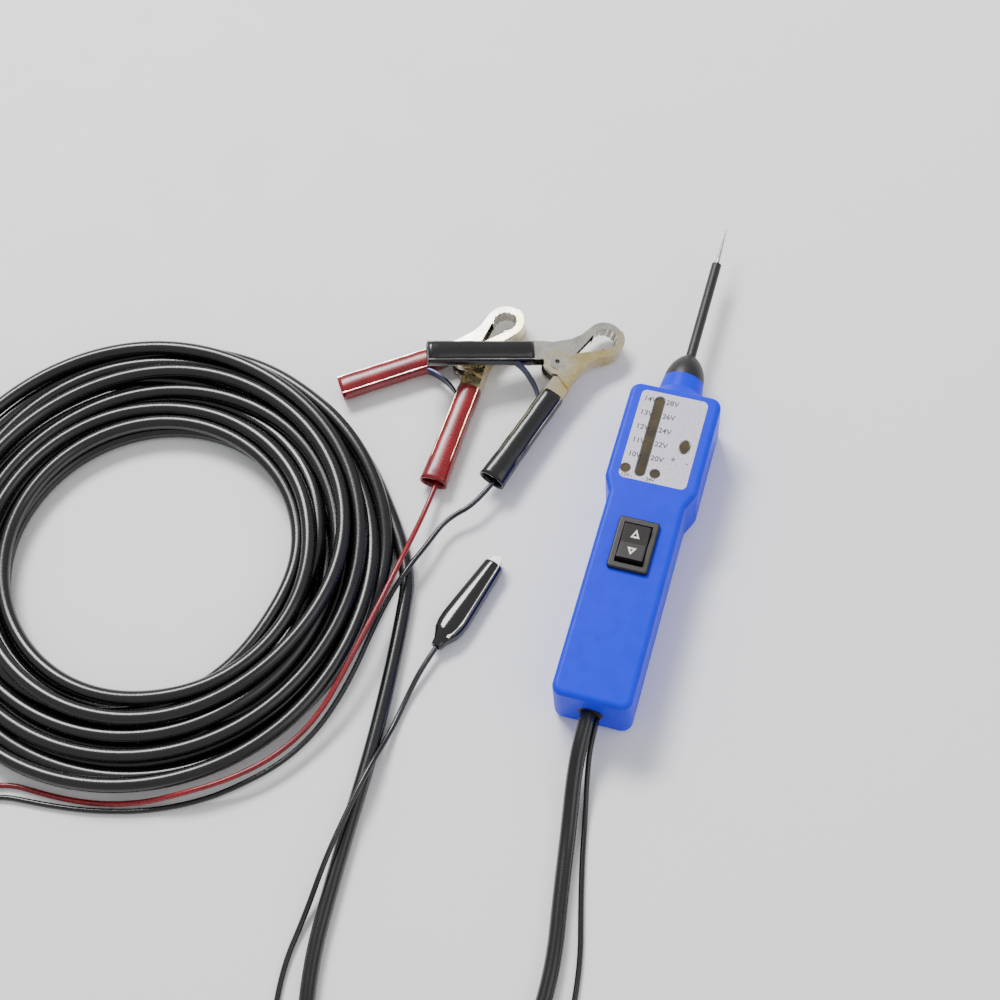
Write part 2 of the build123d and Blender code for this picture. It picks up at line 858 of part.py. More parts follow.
# The black clip leans on the red one: its nose is on the surface and its pin is up.
black_lean = radians(13.4)
black_heading = radians(-13.2)
black_axis = Vector(
    sin(black_lean) * cos(black_heading), sin(black_lean) * sin(black_heading), cos(black_lean)
)
black_aim = Vector(cos(radians(46.4)), sin(radians(46.4)), 0)
black_aim = black_aim - black_axis * black_aim.dot(black_axis)
black_place = Plane(origin=(-50.5, 29.3, 8.7), x_dir=black_aim, z_dir=black_axis).location
for colour, place in (("red", red_place), ("black", black_place)):
    for name, shape in clip_pieces.items():
        save(place * shape, f"{colour}_{name}")

# ---- crocodile clip
croc_upper = area(
    [(-9.5, 1.4), (-9.5, 3.5), (-4, 4.2), (4, 3.5), (22, 2.6), (croc_nose, 1.5), (croc_nose, 0.15), (0, 0.15)]
)
croc_lower = area(
    [
        (-11.5, 1.9),
        (-11.5, 2.9),
        (-4, 4.2),
        (4, 3.5),
        (22, 2.6),
        (croc_nose, 1.5),
        (croc_nose, 0.15),
        (0, 0.15),
        (-2, 1.9),
    ]
)


def croc_half(face, depth, bore):
    face += Circle(croc_ear_radius)
    room = croc_ear_radius + croc_ear_gap
    half = slab(face, depth) - slab(hollow_of(face, croc_sheet, room), depth - 2 * croc_sheet)
    return half - Cylinder(bore / 2, depth)


croc_screw = (
    Pos(croc_screw_x, -2.85, 0) * Rot(90, 0, 0) * Cylinder(croc_screw_diameter / 2, 1.0)
    + Pos(croc_screw_x, -2.45, 0) * Rot(90, 0, 0) * Cylinder(1.6, 0.9)
)
croc_free = croc_half(croc_upper, croc_inner_depth, croc_rivet_diameter + 2 * clip_pin_clearance)
croc_wired = below_of(croc_half(croc_lower, croc_outer_depth, croc_rivet_diameter)) - croc_screw
croc_reach = croc_outer_depth / 2
croc_rivet = Cylinder(croc_rivet_diameter / 2, 2 * croc_reach)
croc_spring = Cylinder(croc_spring_outer / 2, croc_spring_depth) - Cylinder(
    croc_rivet_diameter / 2 + 0.3, croc_spring_depth
)
for side in (-1, 1):
    croc_spring += Pos(-3.6, side * 1.7, 0) * Rot(0, 0, side * -12) * Box(5.2, 0.6, 1.0)


def boot_skin(wall):
    stations = [
        (croc_boot_back, croc_boot_neck, croc_boot_neck),
        (-12.2, 8.2, 7.4),
        (-4.5, 10.9, 7.4),
        (5.0, 9.8, 7.4),
        (croc_boot_front, 7.6, 7.4),
    ]
    rings = [
        Plane(origin=(x, 0, 0), x_dir=(0, 1, 0), z_dir=(1, 0, 0))
        * RectangleRounded(wide - 2 * wall, tall - 2 * wall, 1.25 - wall)
        for x, wide, tall in stations
    ]
    return loft(rings, ruled=True)


croc_boot = boot_skin(0) - boot_skin(croc_boot_wall)
croc_boot -= Pos(croc_boot_back, 0, 0) * Rot(0, 90, 0) * Cylinder(lead_diameter / 2, 4)
croc_pieces = {
    "croc_free_jaw": croc_free,
    "croc_wired_jaw": croc_wired,
    "croc_rivet": croc_rivet,
    "croc_spring": croc_spring,
    "croc_boot": croc_boot,
    "croc_screw": croc_screw,
}
croc_place = Pos(-57.0, -79.1, 3.7) * Rot(0, 0, 73.0)
for name, shape in croc_pieces.items():
    save(croc_place * shape, name)

# ---- coil: one closed solid of the outer shape of all its turns
coil_profile = [
    (coil_inner_radius, 1.2),
    (coil_inner_radius + 1.2, 0),
    (coil_outer_radius - 1.2, 0),
    (coil_outer_radius, 1.2),
    (coil_outer_radius, coil_height - coil_bulge),
    (coil_outer_radius - coil_bulge, coil_height),
    (coil_inner_radius + 1.6, coil_height),
    (coil_inner_radius, coil_height - 1.6),
]
coil = Pos(coil_x, coil_y, 0) * revolve(
    area(coil_profile).moved(Location(Plane.XZ)), Axis.Z
)
clip_swing = 52.3
coil -= upright(-86.6, 25.1, 0, coil_height, 2 * clip_swing)


# ---- routes of the cords
tail_out_angle = 200.0
tail_out_radius = 89.0
tail_out_reach = 41.5        # from the coil to the split sleeve
tail_in = (-80.5, -66.0)
tail_in_heading = 130.0
tail_in_reach = 14.0
tail_in_stub = 12.0
split_rest = split_diameter / 2 + 0.05
lead_spread = 1.4            # of each lead from the split sleeve's middle


def tail_out(reach, side, z):
    heading = radians(tail_out_angle + 90)
    x, y, _ = coil_spot(tail_out_angle, tail_out_radius, 0)
    return (
        x + reach * cos(heading) - side * sin(heading),
        y + reach * sin(heading) + side * cos(heading),
        z,
    )


def tail_in_spot(reach):
    heading = radians(tail_in_heading)
    return (tail_in[0] + reach * cos(heading), tail_in[1] + reach * sin(heading), cable_rest)


def rod(start, end, diameter):
    line = Line(start, end)
    return sweep(Plane(origin=start, z_dir=line % 0) * Circle(diameter / 2), path=line)


def clip_lead_end(place, reach):
    spot = (place * Pos(*wired_spot(reach), 0)).position
    return (spot.X, spot.Y, spot.Z)


def croc_lead_end(reach):
    spot = (croc_place * Pos(reach, 0, 0)).position
    return (spot.X, spot.Y, spot.Z)


split_end = tail_out_reach + split_length
cable_in_split = split_length / 2
main_points = [
    (cable_x, tail_y + cable_inside, cable_z),
    (cable_x, tail_y - 7.5, cable_z),
    (-0.2, -129.0, 7.2),
    (2.6, -147.0, cable_rest),
    (6.0, -169.5, cable_rest),
    (10.2, -194.0, cable_rest),
    (9.5, -221.0, cable_rest),
    (-2.5, -243.0, cable_rest),
    (-24.0, -255.0, cable_rest),
    (-47.0, -252.0, cable_rest),
    (-63.0, -237.0, cable_rest),
    (-68.6, -213.0, cable_rest),
    (-70.3, -188.0, cable_rest),
    (-71.4, -163.0, cable_rest),
    (-72.2, -138.0, cable_rest),
    (-74.2, -113.0, cable_rest),
    (-76.9, -89.0, cable_rest),
    (*tail_in, cable_rest),
    tail_in_spot(tail_in_reach),
]
main_cable = cord("main_cable", main_points, cable_diameter)
save(main_cable, "main_cable")
coil -= main_cable
coil += rod(tail_in_spot(tail_in_reach), tail_in_spot(tail_in_reach + tail_in_stub), cable_diameter)
coil += rod(
    tail_out(cable_in_split, 0, cable_rest), tail_out(tail_out_reach, 0, cable_rest), cable_diameter
)
save(coil, "main_cable_coil")

split = rod(
    tail_out(tail_out_reach, 0, split_rest), tail_out(split_end, 0, split_rest), split_diameter
)
for side in (-1, 1):
    split -= rod(
        tail_out(split_end - cable_in_split, side * lead_spread, split_rest),
        tail_out(split_end, side * lead_spread, split_rest),
        lead_diameter,
    )
save(split, "split_sleeve")

red_points = [
    tail_out(split_end - cable_in_split, lead_spread, split_rest),
    tail_out(split_end + 7.0, lead_spread, split_rest),
    (-226.0, -193.5, 2.2),
    (-211.0, -193.0, lead_rest),
    coil_spot(258, 98.2, lead_rest),
    coil_spot(270, 96.6, lead_rest),
    coil_spot(280, 96.4, lead_rest),
    coil_spot(290, 96.6, 3.4),
    coil_spot(299, 96.6, 6.8),
    coil_spot(308, 97.0, 7.2),
    coil_spot(317, 97.3, 7.0),
    coil_spot(326, 96.4, 7.2),
    coil_spot(334, 94.6, 8.6),
    coil_spot(342, 92.6, 11.2),
    (-87.2, -101.7, on_coil),
    (-84.9, -86.7, on_coil + 0.4),
    (-83.3, -71.6, on_coil),
    (-82.4, -57.5, 9.2),
    clip_lead_end(red_place, clip_handle_reach + 14.0),
    clip_lead_end(red_place, terminal_reach),
]
save(cord("red_lead", red_points, lead_diameter), "red_lead")

black_points = [
    tail_out(split_end - cable_in_split, -lead_spread, split_rest),
    tail_out(split_end + 8.0, -lead_spread, split_rest),
    (-227.5, -197.5, 2.2),
    (-211.0, -197.0, lead_rest),
    coil_spot(258, 103.5, lead_rest),
    coil_spot(270, 100.0, lead_rest),
    coil_spot(280, 99.0, lead_rest),
    coil_spot(291, 99.0, lead_rest),
    coil_spot(302, 99.4, 2.2),
    coil_spot(311, 99.8, 4.6),
    coil_spot(320, 99.8, 4.6),
    coil_spot(329, 98.4, 5.4),
    coil_spot(337, 96.4, 7.4),
    coil_spot(345, 94.6, 8.9),
    (-84.9, -95.7, 9.4),
    (-83.4, -82.5, 8.9),
    (-80.6, -69.5, 8.4),
    (-76.6, -56.5, 6.6),
    (-73.0, -44.0, 5.6),
    clip_lead_end(black_place, clip_handle_reach + 15.0),
    clip_lead_end(black_place, terminal_reach),
]
save(cord("black_lead", black_points, lead_diameter), "black_lead")

ground_points = [
    (ground_lead_x, tail_y + cable_inside, ground_lead_z),
    (ground_lead_x, tail_y - 7.5, ground_lead_z),
    (4.0, -127.5, 5.0),
    (7.0, -141.5, lead_rest),
    (9.6, -155.0, lead_rest),
    (13.4, -171.0, lead_rest),
    (18.4, -190.0, lead_rest),
    (20.5, -214.0, lead_rest),
    (13.0, -240.0, lead_rest),
    (-8.0, -260.0, lead_rest),
    (-34.0, -266.0, lead_rest),
    (-58.0, -258.0, lead_rest),
    (-74.0, -239.0, lead_rest),
    (-77.6, -217.0, lead_rest),
    (-76.0, -199.5, 1.6),
    (-74.2, -181.0, cable_diameter + 2.4),
    (-72.4, -163.5, cable_diameter + 2.5),
    (-70.2, -146.0, cable_diameter + 2.2),
    (-67.9, -128.0, 1.6),
    (-66.4, -114.0, 1.6),
    croc_lead_end(-24.0),
    croc_lead_end(-12.0),
]
save(cord("ground_lead", ground_points, lead_diameter), "ground_lead")

wire_points = [
    (cable_x, tail_y + cable_inside, cable_z),
    (cable_x, tail_y + cable_inside + 6.0, cable_z),
    (-0.6, breaker_y - 4.0, 13.4),
    (-0.3, breaker_y + 6.0, 12.8),
    (0, switch_y - terminal_pitch - 6.4, 8.4),
    (0, switch_y - terminal_pitch - 0.4, 8.4),
]
save(cord("supply_wire", wire_points, wire_diameter), "supply_wire")

contact_y = flange_y - locknut_length
contact = block(
    -contact_width / 2,
    contact_width / 2,
    contact_y - contact_thickness,
    contact_y,
    parting_height - contact_width / 2,
    board_bottom,
) + block(
    -contact_width / 2,
    contact_width / 2,
    contact_y - contact_reach,
    contact_y,
    board_bottom - contact_thickness,
    board_bottom,
)
save(contact, "probe_contact")
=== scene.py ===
import json
import math
import bmesh
import bpy
import numpy as np
from mathutils import Matrix, Vector


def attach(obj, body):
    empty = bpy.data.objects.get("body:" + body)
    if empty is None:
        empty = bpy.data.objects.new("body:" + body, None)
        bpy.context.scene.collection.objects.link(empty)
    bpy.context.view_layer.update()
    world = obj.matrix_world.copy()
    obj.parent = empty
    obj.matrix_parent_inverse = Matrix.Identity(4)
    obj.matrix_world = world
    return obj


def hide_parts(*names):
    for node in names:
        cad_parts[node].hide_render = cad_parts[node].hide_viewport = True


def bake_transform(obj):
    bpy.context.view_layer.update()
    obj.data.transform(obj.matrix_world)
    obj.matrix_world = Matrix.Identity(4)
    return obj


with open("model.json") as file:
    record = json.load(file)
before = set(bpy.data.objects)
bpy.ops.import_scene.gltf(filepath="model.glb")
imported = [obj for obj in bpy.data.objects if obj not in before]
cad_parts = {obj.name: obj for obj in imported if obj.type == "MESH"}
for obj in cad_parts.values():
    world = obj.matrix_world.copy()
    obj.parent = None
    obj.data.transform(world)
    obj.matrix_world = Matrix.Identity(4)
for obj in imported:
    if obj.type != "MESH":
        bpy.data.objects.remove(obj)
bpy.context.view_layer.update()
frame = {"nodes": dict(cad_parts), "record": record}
mm = 0.001


def metres(points):
    return [tuple(value * mm for value in point) for point in points]


# The camera stands over the near right corner and is rolled a little.
cameraSet = {"place": (61.6, -302.3, 560.8), "azimuth": 23.4, "elevation": 62.0, "roll": 8.0, "lens": 59.8}


def makeCamera():
    azimuth = math.radians(cameraSet["azimuth"])
    elevation = math.radians(cameraSet["elevation"])
    forward = Vector((
        -math.sin(azimuth) * math.cos(elevation),
        math.cos(azimuth) * math.cos(elevation),
        -math.sin(elevation),
    ))
    right = forward.cross(Vector((0, 0, 1))).normalized()
    turn = Matrix.Rotation(math.radians(cameraSet["roll"]), 3, forward)
    right = turn @ right
    up = right.cross(forward)
    data = bpy.data.cameras.new("camera")
    data.lens = cameraSet["lens"]
    data.sensor_width = 36.0
    camera = bpy.data.objects.new("camera", data)
    rotation = Matrix((right, up, -forward)).transposed()
    camera.matrix_world = Matrix.Translation(Vector(cameraSet["place"]) * mm) @ rotation.to_4x4()
    bpy.context.scene.collection.objects.link(camera)
    bpy.context.scene.camera = camera


makeCamera()


# Materials: one call makes the node tree, and each piece's numbers stand beside it.
def surface(
    name, base, dark, rough, metallic=0.0, coat=0.0, grain=900.0, bump=0.05, streak=None, depth=0.0002, shine=0.5,
):
    material = bpy.data.materials.new(name)
    material.use_nodes = True
    nodes = material.node_tree.nodes
    links = material.node_tree.links
    shader = nodes["Principled BSDF"]
    shader.inputs["Metallic"].default_value = metallic
    shader.inputs["Coat Weight"].default_value = coat
    shader.inputs["Coat Roughness"].default_value = 0.12
    shader.inputs["Specular IOR Level"].default_value = shine
    place = nodes.new("ShaderNodeTexCoord")
    mapping = nodes.new("ShaderNodeMapping")
    links.new(place.outputs["Object"], mapping.inputs["Vector"])
    if streak:
        mapping.inputs["Scale"].default_value = streak
    cloud = nodes.new("ShaderNodeTexNoise")
    cloud.inputs["Scale"].default_value = grain * 0.08
    cloud.inputs["Detail"].default_value = 4.0
    fine = nodes.new("ShaderNodeTexNoise")
    fine.inputs["Scale"].default_value = grain
    fine.inputs["Detail"].default_value = 3.0
    for texture in (cloud, fine):
        links.new(mapping.outputs["Vector"], texture.inputs["Vector"])
    mix = nodes.new("ShaderNodeMix")
    mix.data_type = "RGBA"
    mix.inputs["A"].default_value = (*dark, 1)
    mix.inputs["B"].default_value = (*base, 1)
    ramp = nodes.new("ShaderNodeMapRange")
    ramp.inputs["From Min"].default_value = 0.35
    ramp.inputs["From Max"].default_value = 0.6
    links.new(cloud.outputs["Fac"], ramp.inputs["Value"])
    links.new(ramp.outputs["Result"], mix.inputs["Factor"])
    links.new(mix.outputs["Result"], shader.inputs["Base Color"])
    gloss = nodes.new("ShaderNodeMapRange")
    gloss.inputs["From Min"].default_value = 0.3
    gloss.inputs["From Max"].default_value = 0.7
    gloss.inputs["To Min"].default_value = rough * 0.85
    gloss.inputs["To Max"].default_value = min(1.0, rough * 1.2)
    links.new(fine.outputs["Fac"], gloss.inputs["Value"])
    links.new(gloss.outputs["Result"], shader.inputs["Roughness"])
    relief = nodes.new("ShaderNodeBump")
    relief.inputs["Strength"].default_value = bump
    relief.inputs["Distance"].default_value = depth
    links.new(fine.outputs["Fac"], relief.inputs["Height"])
    links.new(relief.outputs["Normal"], shader.inputs["Normal"])
    return material


looks = {
    "housing": surface("housing", (0.0, 0.016, 0.86), (0.0, 0.014, 0.80), 0.4, grain=2200, bump=0.12, shine=0.14),
    "label": surface("label", (0.66, 0.64, 0.73), (0.52, 0.50, 0.60), 0.4, grain=14000, bump=0.03),
    "lens": surface("lens", (0.07, 0.05, 0.018), (0.03, 0.022, 0.01), 0.15, coat=0.5, grain=1500, bump=0.02),
    "green_board": surface("green_board", (0.02, 0.16, 0.06), (0.01, 0.10, 0.04), 0.3, grain=1200),
    "lamp": surface("lamp", (0.45, 0.08, 0.05), (0.30, 0.05, 0.03), 0.2, grain=900),
    "dark_plastic": surface("dark_plastic", (0.03, 0.03, 0.03), (0.02, 0.02, 0.02), 0.5, grain=2500),
    "resistor": surface("resistor", (0.50, 0.38, 0.22), (0.40, 0.30, 0.16), 0.4, grain=1500),
    "zinc_steel": surface("zinc_steel", (0.62, 0.62, 0.63), (0.50, 0.50, 0.52), 0.32, metallic=1.0, grain=1800),
    "switch_plastic": surface(
        "switch_plastic", (0.016, 0.013, 0.011), (0.010, 0.008, 0.007), 0.42, grain=3800, bump=0.25,
    ),
    "brass": surface("brass", (0.70, 0.50, 0.20), (0.55, 0.38, 0.14), 0.28, metallic=1.0, grain=1500),
    "needle_steel": surface(
        "needle_steel", (0.66, 0.65, 0.63), (0.52, 0.51, 0.50), 0.2, metallic=1.0, grain=2600, streak=(1, 0.08, 1)
    ),
    "black_rubber": surface("black_rubber", (0.014, 0.013, 0.014), (0.009, 0.009, 0.009), 0.45, grain=2600, bump=0.1),
    "clamp_plastic": surface("clamp_plastic", (0.05, 0.05, 0.05), (0.035, 0.035, 0.035), 0.5, grain=2000),
    "black_pvc": surface(
        "black_pvc", (0.005, 0.005, 0.0055), (0.003, 0.003, 0.0035), 0.26, coat=0.2, grain=1600, bump=0.06,
    ),
    "red_pvc": surface("red_pvc", (0.24, 0.001, 0.007), (0.16, 0.0008, 0.005), 0.28, coat=0.2, grain=1300, bump=0.08),
    "nickel_steel": surface(
        "nickel_steel", (0.72, 0.69, 0.62), (0.50, 0.47, 0.42), 0.27, metallic=1.0, grain=1500, bump=0.1
    ),
    "passivated_steel": surface(
        "passivated_steel", (0.78, 0.70, 0.50), (0.66, 0.50, 0.18), 0.27, metallic=1.0, grain=700, bump=0.1
    ),
    "glossy_pvc": surface(
        "glossy_pvc", (0.006, 0.006, 0.007), (0.004, 0.004, 0.004), 0.12, coat=0.4, grain=500, bump=0.04,
    ),
    "blued_steel": surface("blued_steel", (0.05, 0.06, 0.12), (0.02, 0.02, 0.04), 0.3, metallic=0.9, grain=900),
    "ink": surface("ink", (0.05, 0.05, 0.06), (0.03, 0.03, 0.035), 0.5, grain=4000),
    "white_ink": surface("white_ink", (0.85, 0.84, 0.80), (0.70, 0.69, 0.66), 0.5, grain=4000),
}
slots = {entry["node"]: entry["material_slot"] for entry in frame["record"]["subparts"]}
for nodeName, node in frame["nodes"].items():
    for holder in node.material_slots:
        holder.material = looks[slots[nodeName]]


def addObject(name, data, look, body):
    piece = bpy.data.objects.new(name, data)
    bpy.context.scene.collection.objects.link(piece)
    data.materials.append(looks[look])
    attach(piece, body)
    return piece


def meshFrom(name, vertices, faces, smooth=True):
    mesh = bpy.data.meshes.new(name)
    mesh.from_pydata(vertices, [], faces)
    mesh.update()
    for polygon in mesh.polygons:
        polygon.use_smooth = smooth
    return mesh


print("materials and frame")

# Cords: each is one spline through its route's points.
coilSet = {
    "x": -177.5, "y": -86.5, "inner": 55.0, "turns": 12, "stations": 36, "sweep": 3.15, "wander": 2.6, "steps": 240,
    "sag": 0.04,
}
cable = {"diameter": 5.6, "rest": 2.85, "length": 6.2}
lead = {"diameter": 2.0, "rest": 1.05}


def coilSpot(angle, radius, z):
    turn = math.radians(angle)
    return (coilSet["x"] + radius * math.cos(turn), coilSet["y"] + radius * math.sin(turn), z)


def tailOut(reach, side, z):
    heading = math.radians(290.0)
    x, y, _ = coilSpot(200.0, 89.0, 0)
    return (
        x + reach * math.cos(heading) - side * math.sin(heading),
        y + reach * math.sin(heading) + side * math.cos(heading),
        z,
    )


def cord(name, points, diameter, look):
    data = bpy.data.curves.new(name, "CURVE")
    data.dimensions = "3D"
    spline = data.splines.new("NURBS")
    spline.points.add(len(points) - 1)
    for target, point in zip(spline.points, metres(points)):
        target.co = (*point, 1)
    spline.order_u = 3
    spline.use_endpoint_u = True
    spline.resolution_u = 6
    data.bevel_depth = diameter / 2 * mm
    data.bevel_resolution = 5
    data.use_fill_caps = True
    return addObject(name, data, look, "tester")


# The outside of the coil is not round: angle and radius of its outer strand.
coilEdge = [
    (12, 95.5), (26, 92.4), (40, 89.4), (56, 88.0), (71, 87.4), (84, 90.5), (100, 95.0), (130, 94.0), (180, 92.0),
    (225, 91.5), (270, 92.5), (302, 95.0), (314, 96.4), (324, 95.0), (338, 90.6), (352, 87.2), (372, 89.0),
]


def coilPoints():
    # The cable is laid turn on turn: it wanders in and out across the coil, and rests on what lies there.
    count = coilSet["stations"]
    start = 36.0
    last = 200.0 + 360.0 * coilSet["turns"] - 12.0
    angles = np.arange(start, last, 360.0 / count)
    total = len(angles)
    turns = (angles - angles[0]) / 360.0
    edge = np.interp(angles % 360.0, [a for a, _ in coilEdge], [r for _, r in coilEdge])
    sweep = np.abs(((turns / coilSet["sweep"]) % 2.0) - 1.0)
    middle = coilSet["inner"] + (edge - coilSet["inner"]) * sweep
    spin = np.radians(angles)
    wander = np.sin(spin * 0.73 + 0.4) + 0.8 * np.sin(spin * 1.61 + 2.0) + 0.5 * np.sin(spin * 2.37 + 4.4)
    radii = middle + coilSet["wander"] * wander * np.minimum(1.0, turns * 1.5)
    radii = np.clip(radii, coilSet["inner"], edge)
    gap = cable["diameter"] * 1.02
    heights = np.full(total, cable["rest"])
    for spot in range(total):
        for below in range(spot - count, -1, -count):
            across = abs(radii[spot] - radii[below])
            if across < gap:
                heights[spot] = max(heights[spot], heights[below] + math.sqrt(gap * gap - across * across))
    wanted = radii.copy()
    for step in range(coilSet["steps"]):
        push = np.zeros(total)
        lift = np.zeros(total)
        for shift in range(count, total, count):
            across = radii[shift:] - radii[:-shift]
            above = heights[shift:] - heights[:-shift]
            apart = np.hypot(across, above) + 1e-6
            close = np.maximum(gap - apart, 0) * 0.5
            push[shift:] += close * across / apart
            push[:-shift] -= close * across / apart
            lift[shift:] += close * above / apart
            lift[:-shift] -= close * above / apart
        radii += 0.7 * push + 0.02 * (wanted - radii)
        heights += 0.7 * lift - coilSet["sag"]
        radii[1:-1] += 0.3 * (radii[:-2] + radii[2:] - 2 * radii[1:-1]) * 0.5
        heights[1:-1] += 0.3 * (heights[:-2] + heights[2:] - 2 * heights[1:-1])
        heights = np.maximum(heights, cable["rest"])
        radii = np.clip(radii, coilSet["inner"], edge)
    return [coilSpot(a, r, z) for a, r, z in zip(angles, radii, heights)]


mainRoute = [
    (-0.9, -90.5, 11.8), (-0.9, -115.0, 11.8), (-0.2, -129.0, 7.2), (2.6, -147.0, 2.85), (6.0, -169.5, 2.85),
    (10.2, -194.0, 2.85), (9.5, -221.0, 2.85), (-2.5, -243.0, 2.85), (-24.0, -255.0, 2.85), (-47.0, -252.0, 2.85),
    (-63.0, -237.0, 2.85), (-68.6, -213.0, 2.85), (-70.3, -188.0, 2.85), (-71.4, -163.0, 2.85),
    (-72.2, -138.0, 2.85), (-74.2, -113.0, 2.85), (-76.9, -89.0, 2.85), (-80.5, -66.0, 2.85),
]
mainRoute += coilPoints()
mainRoute += [tailOut(14, 0, 7.0), tailOut(28, 0, 3.4), tailOut(41.5, 0, 2.85), tailOut(53.5, 0, 2.85)]
mainCable = cord("main_cable_line", mainRoute, cable["diameter"], "black_pvc")
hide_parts("main_cable", "main_cable_coil")

redRoute = [
    tailOut(53.5, 1.4, 4.25), tailOut(72.5, 1.4, 4.25), (-226.0, -193.5, 2.2), (-211.0, -193.0, 1.05),
    coilSpot(258, 98.2, 1.05), coilSpot(270, 96.6, 1.05), coilSpot(280, 96.4, 1.05), coilSpot(290, 96.6, 3.4),
    coilSpot(299, 96.6, 6.8), coilSpot(308, 97.0, 7.2), coilSpot(317, 97.3, 7.0), coilSpot(326, 96.4, 7.2),
    coilSpot(334, 94.6, 8.6), coilSpot(342, 92.6, 11.2), (-87.2, -101.7, 12.25), (-84.9, -86.7, 12.65),
    (-83.3, -71.6, 12.25), (-82.4, -57.5, 9.2),
]
blackRoute = [
    tailOut(53.5, -1.4, 4.25), tailOut(73.5, -1.4, 4.25), (-227.5, -197.5, 2.2), (-211.0, -197.0, 1.05),
    coilSpot(258, 103.5, 1.05), coilSpot(270, 100.0, 1.05), coilSpot(280, 99.0, 1.05), coilSpot(291, 99.0, 1.05),
    coilSpot(302, 99.4, 2.2), coilSpot(311, 99.8, 4.6), coilSpot(320, 99.8, 4.6), coilSpot(329, 98.4, 5.4),
    coilSpot(337, 96.4, 7.4), coilSpot(345, 94.6, 8.9), (-84.9, -95.7, 9.4), (-83.4, -82.5, 8.9),
    (-80.6, -69.5, 8.4), (-76.6, -56.5, 6.6), (-73.0, -44.0, 5.6),
]
groundRoute = [
    (2.3, -90.5, 9.1), (2.3, -115.0, 9.1), (4.0, -127.5, 5.0), (7.0, -141.5, 1.05), (9.6, -155.0, 1.05),
    (13.4, -171.0, 1.05), (18.4, -190.0, 1.05), (20.5, -214.0, 1.05), (13.0, -240.0, 1.05), (-8.0, -260.0, 1.05),
    (-34.0, -266.0, 1.05), (-58.0, -258.0, 1.05), (-74.0, -239.0, 1.05), (-77.6, -217.0, 1.05),
    (-76.0, -199.5, 1.6), (-74.2, -181.0, 8.0), (-72.4, -163.5, 8.1), (-70.2, -146.0, 7.8), (-67.9, -128.0, 1.6),
    (-66.4, -114.0, 1.6),
]


def along(place, aim, reach, side):
    # A point in a clip's own plane: reach is along its jaw and side is to the left of it.
    left = aim[1].cross(aim[0])
    spot = Vector(place) + aim[0] * reach + left * side
    return tuple(spot)


def clipAim(heading, axis):
    flat = Vector((math.cos(math.radians(heading)), math.sin(math.radians(heading)), 0))
    aim = (flat - axis * flat.dot(axis)).normalized()
    return aim, axis


lean = math.radians(13.4)
leanTo = math.radians(-13.2)
leanAxis = Vector((math.sin(lean) * math.cos(leanTo), math.sin(lean) * math.sin(leanTo), math.cos(lean)))
redClip = {"place": (-86.6, 25.1, 4.7), "aim": clipAim(61.5, Vector((0, 0, 1)))}
blackClip = {"place": (-50.5, 29.3, 8.7), "aim": clipAim(46.4, leanAxis)}
crocClip = {"place": (-57.0, -79.1, 3.7), "aim": clipAim(73.0, Vector((0, 0, 1)))}


def leadEnd(clip, reach):
    turn = math.radians(26.5)
    offset = 7.1
    x = offset * math.sin(turn) - reach * math.cos(turn)
    y = -offset * math.cos(turn) - reach * math.sin(turn)
    return along(clip["place"], clip["aim"], x, y)


redRoute += [leadEnd(redClip, 64.0), leadEnd(redClip, 42.0)]
blackRoute += [leadEnd(blackClip, 65.0), leadEnd(blackClip, 42.0)]
groundRoute += [along(crocClip["place"], crocClip["aim"], reach, 0) for reach in (-24.0, -12.0)]
redLead = cord("red_lead_line", redRoute, lead["diameter"], "red_pvc")
blackLead = cord("black_lead_line", blackRoute, lead["diameter"], "black_pvc")
groundLead = cord("ground_lead_line", groundRoute, lead["diameter"], "black_pvc")
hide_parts("red_lead")
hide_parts("black_lead")
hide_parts("ground_lead")


print("cords")

# Clip pieces: each is made in its clip's own plane and set down with along().
handleTurn = math.radians(26.5)


def clipPoint(clip, x, y, z):
    spot = Vector(along(clip["place"], clip["aim"], x, y)) + clip["aim"][1] * z
    return tuple(spot * mm)


def handlePoint(reach, offset):
    return (
        offset * math.sin(handleTurn) - reach * math.cos(handleTurn),
        offset * math.cos(handleTurn) + reach * math.sin(handleTurn),
    )


def closedOval(turn, wide, tall, power):
    across = math.copysign(abs(math.cos(turn)) ** (2 / power), math.cos(turn))
    up = math.copysign(abs(math.sin(turn)) ** (2 / power), math.sin(turn))
    return wide * across, tall * up


sleeveSet = {
    "wall": 0.75, "offset": 5.8, "power": 2.5, "around": 40, "stations": 26, "lip": 0.18,
    "free": {"start": 8.5, "end": 50.2, "wide": (4.85, 4.75, 4.8, 5.05), "tall": 4.05, "side": 1},
    "wired": {"start": 11.5, "end": 55.2, "wide": (4.75, 4.7, 4.95, 5.5), "tall": 4.05, "side": -1},
}


